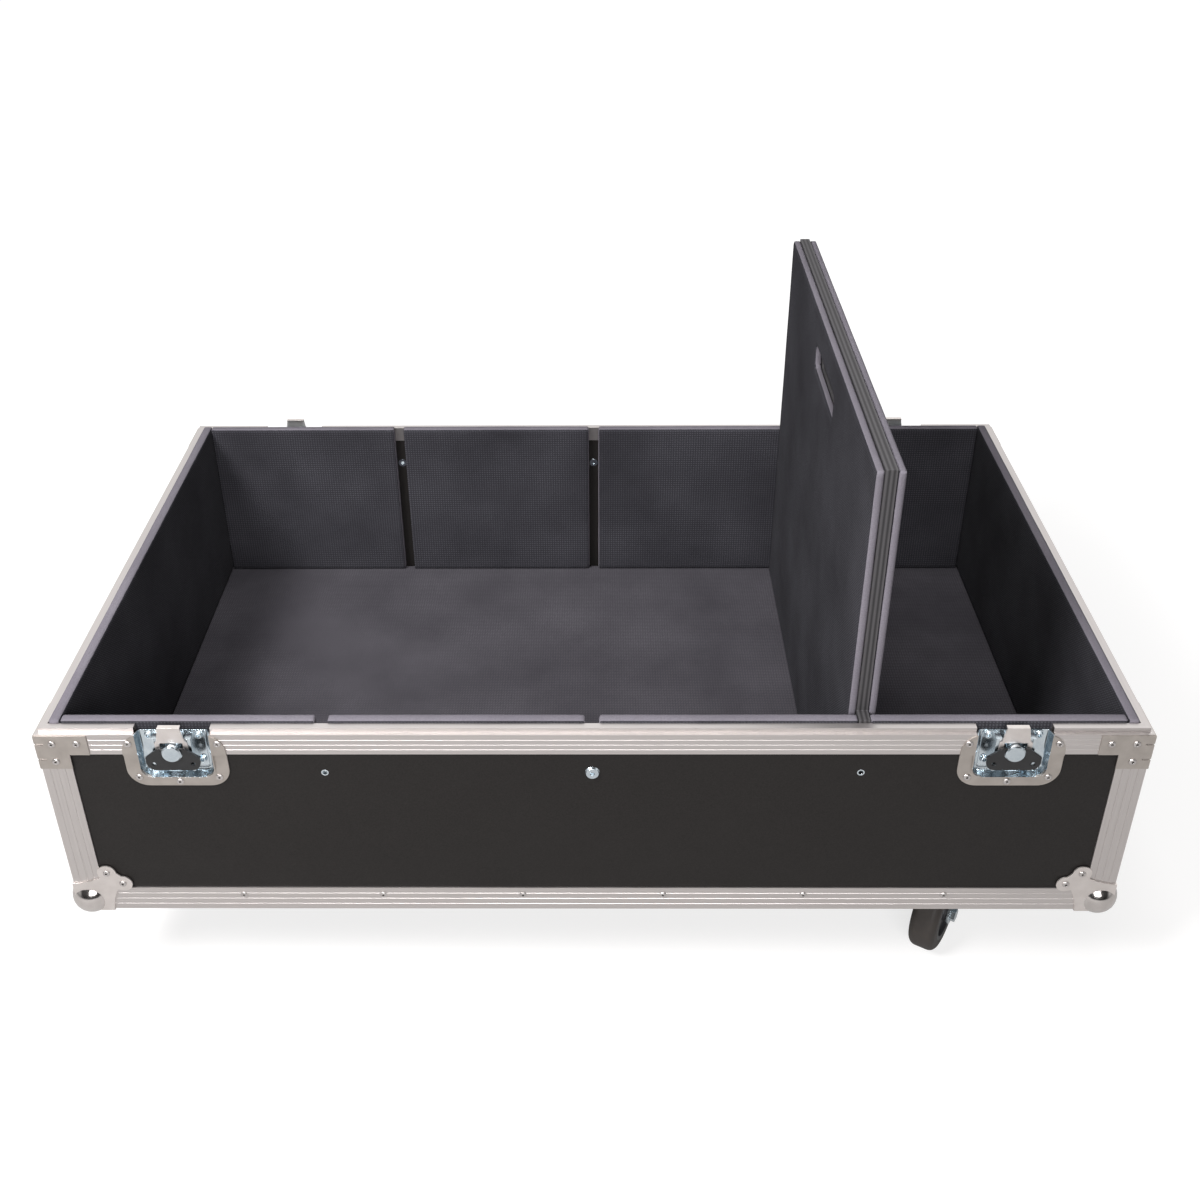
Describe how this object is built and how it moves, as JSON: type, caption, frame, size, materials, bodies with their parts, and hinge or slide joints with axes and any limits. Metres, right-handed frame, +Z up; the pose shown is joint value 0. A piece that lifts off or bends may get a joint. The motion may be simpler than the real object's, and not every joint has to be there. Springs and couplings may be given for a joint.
{
  "type": "speaker flight case",
  "caption": "Open foam-lined flight case tray on swivel casters, with butterfly latches in pressed dishes and a lift-out padded divider.",
  "frame": {"origin": "on the floor, under the middle of the tray", "axes": "+X along the case to the viewer's right, +Y from the front face to the rear, +Z up"},
  "size_m": [1.169, 0.713, 0.669],
  "materials": {
    "laminate": "black laminated plywood, fine satin grain",
    "extrusion": "satin mill aluminium",
    "zinc": "bright zinc-plated steel",
    "foam": "charcoal closed-cell foam, matt",
    "floor_foam": "charcoal closed-cell foam, matt",
    "black_wing": "black powder coat",
    "tyre": "dark brown-grey rubber",
    "hub": "dark grey moulded plastic"
  },
  "bodies": {
    "tray": {"bottom_panel": "laminate", "front_panel": "laminate", "rear_panel": "laminate", "left_panel": "laminate", "right_panel": "laminate", "rim_front": "extrusion", "rim_rear": "extrusion", "rim_left": "extrusion", "rim_right": "extrusion", "base_edge_front": "extrusion", "base_edge_rear": "extrusion", "base_edge_left": "extrusion", "base_edge_right": "extrusion", "upright_edges": "extrusion", "top_corner_plates": "zinc", "ball_corners": "zinc", "rivets": "zinc", "wall_inserts": "zinc", "centre_screws": "zinc", "floor_foam": "floor_foam", "left_foam": "foam", "right_foam": "foam", "front_foam_pads": "foam", "rear_foam_pads": "foam", "latch_dishes": "zinc", "latch_base_plates": "zinc", "caster_plates": "zinc", "caster_bolts": "zinc"},
    "divider": {"divider_board": "laminate", "divider_foam_left": "foam", "divider_foam_right": "foam"},
    "hook_front_left": {"latch_hook_front_left": "zinc"},
    "knob_front_left": {"latch_knob_front_left": "zinc"},
    "wing_front_left": {"latch_wing_front_left": "black_wing"},
    "hook_front_right": {"latch_hook_front_right": "zinc"},
    "knob_front_right": {"latch_knob_front_right": "zinc"},
    "wing_front_right": {"latch_wing_front_right": "black_wing"},
    "hook_rear_left": {"latch_hook_rear_left": "zinc"},
    "knob_rear_left": {"latch_knob_rear_left": "zinc"},
    "wing_rear_left": {"latch_wing_rear_left": "black_wing"},
    "hook_rear_right": {"latch_hook_rear_right": "zinc"},
    "knob_rear_right": {"latch_knob_rear_right": "zinc"},
    "wing_rear_right": {"latch_wing_rear_right": "black_wing"},
    "caster_front_left": {"caster_fork_front_left": "zinc", "caster_axle_front_left": "zinc"},
    "wheel_front_left": {"caster_hub_front_left": "hub", "caster_tyre_front_left": "tyre"},
    "caster_front_right": {"caster_fork_front_right": "zinc", "caster_axle_front_right": "zinc"},
    "wheel_front_right": {"caster_hub_front_right": "hub", "caster_tyre_front_right": "tyre"},
    "caster_rear_left": {"caster_fork_rear_left": "zinc", "caster_axle_rear_left": "zinc"},
    "wheel_rear_left": {"caster_hub_rear_left": "hub", "caster_tyre_rear_left": "tyre"},
    "caster_rear_right": {"caster_fork_rear_right": "zinc", "caster_axle_rear_right": "zinc"},
    "wheel_rear_right": {"caster_hub_rear_right": "hub", "caster_tyre_rear_right": "tyre"}
  },
  "joints": [
    {"name": "divider_lift", "type": "slide", "parent": "tray", "child": "divider", "axis": [0, 0, 1], "range_m": [0, 0.24]},
    {"name": "front_left_latch_turn", "type": "hinge", "parent": "tray", "child": "knob_front_left", "pos_m": [-0.433, -0.346, 0.3585], "axis": [0, -1, 0], "range_deg": [0, 180]},
    {"name": "front_left_hook_lift", "type": "slide", "parent": "tray", "child": "hook_front_left", "axis": [0, 0, 1], "range_m": [0, 0.012]},
    {"name": "front_left_wing_fold", "type": "hinge", "parent": "knob_front_left", "child": "wing_front_left", "pos_m": [-0.433, -0.35305, 0.3633], "axis": [-1, 0, 0], "range_deg": [0, 90]},
    {"name": "front_right_latch_turn", "type": "hinge", "parent": "tray", "child": "knob_front_right", "pos_m": [0.433, -0.346, 0.3585], "axis": [0, -1, 0], "range_deg": [0, 180]},
    {"name": "front_right_hook_lift", "type": "slide", "parent": "tray", "child": "hook_front_right", "axis": [0, 0, 1], "range_m": [0, 0.012]},
    {"name": "front_right_wing_fold", "type": "hinge", "parent": "knob_front_right", "child": "wing_front_right", "pos_m": [0.433, -0.35305, 0.3633], "axis": [-1, 0, 0], "range_deg": [0, 90]},
    {"name": "rear_left_latch_turn", "type": "hinge", "parent": "tray", "child": "knob_rear_left", "pos_m": [-0.433, 0.346, 0.3585], "axis": [0, 1, 0], "range_deg": [0, 180]},
    {"name": "rear_left_hook_lift", "type": "slide", "parent": "tray", "child": "hook_rear_left", "axis": [0, 0, 1], "range_m": [0, 0.012]},
    {"name": "rear_left_wing_fold", "type": "hinge", "parent": "knob_rear_left", "child": "wing_rear_left", "pos_m": [-0.433, 0.35305, 0.3633], "axis": [1, 0, 0], "range_deg": [0, 90]},
    {"name": "rear_right_latch_turn", "type": "hinge", "parent": "tray", "child": "knob_rear_right", "pos_m": [0.433, 0.346, 0.3585], "axis": [0, 1, 0], "range_deg": [0, 180]},
    {"name": "rear_right_hook_lift", "type": "slide", "parent": "tray", "child": "hook_rear_right", "axis": [0, 0, 1], "range_m": [0, 0.012]},
    {"name": "rear_right_wing_fold", "type": "hinge", "parent": "knob_rear_right", "child": "wing_rear_right", "pos_m": [0.433, 0.35305, 0.3633], "axis": [1, 0, 0], "range_deg": [0, 90]},
    {"name": "front_left_caster_swivel", "type": "hinge", "parent": "tray", "child": "caster_front_left", "pos_m": [-0.425, -0.2395, 0.118], "axis": [0, 0, 1], "continuous": true},
    {"name": "front_left_wheel_spin", "type": "hinge", "parent": "caster_front_left", "child": "wheel_front_left", "pos_m": [-0.42249, -0.20359, 0.05], "axis": [-0.9976, 0.0698, 0], "continuous": true},
    {"name": "front_right_caster_swivel", "type": "hinge", "parent": "tray", "child": "caster_front_right", "pos_m": [0.425, -0.2395, 0.118], "axis": [0, 0, 1], "continuous": true},
    {"name": "front_right_wheel_spin", "type": "hinge", "parent": "caster_front_right", "child": "wheel_front_right", "pos_m": [0.40646, -0.27036, 0.05], "axis": [0.8572, -0.515, 0], "continuous": true},
    {"name": "rear_left_caster_swivel", "type": "hinge", "parent": "tray", "child": "caster_rear_left", "pos_m": [-0.425, 0.2395, 0.118], "axis": [0, 0, 1], "continuous": true},
    {"name": "rear_left_wheel_spin", "type": "hinge", "parent": "caster_rear_left", "child": "wheel_rear_left", "pos_m": [-0.4419, 0.27129, 0.05], "axis": [-0.8829, -0.4695, 0], "continuous": true},
    {"name": "rear_right_caster_swivel", "type": "hinge", "parent": "tray", "child": "caster_rear_right", "pos_m": [0.425, 0.2395, 0.118], "axis": [0, 0, 1], "continuous": true},
    {"name": "rear_right_wheel_spin", "type": "hinge", "parent": "caster_rear_right", "child": "wheel_rear_right", "pos_m": [0.44408, 0.27003, 0.05], "axis": [-0.848, 0.5299, 0], "continuous": true}
  ],
  "couplings": [
    {"joint": "front_left_latch_turn", "follows": "front_left_hook_lift", "rad_per_m": 261.8},
    {"joint": "front_right_latch_turn", "follows": "front_right_hook_lift", "rad_per_m": 261.8},
    {"joint": "rear_left_latch_turn", "follows": "rear_left_hook_lift", "rad_per_m": 261.8},
    {"joint": "rear_right_latch_turn", "follows": "rear_right_hook_lift", "rad_per_m": 261.8}
  ]
}
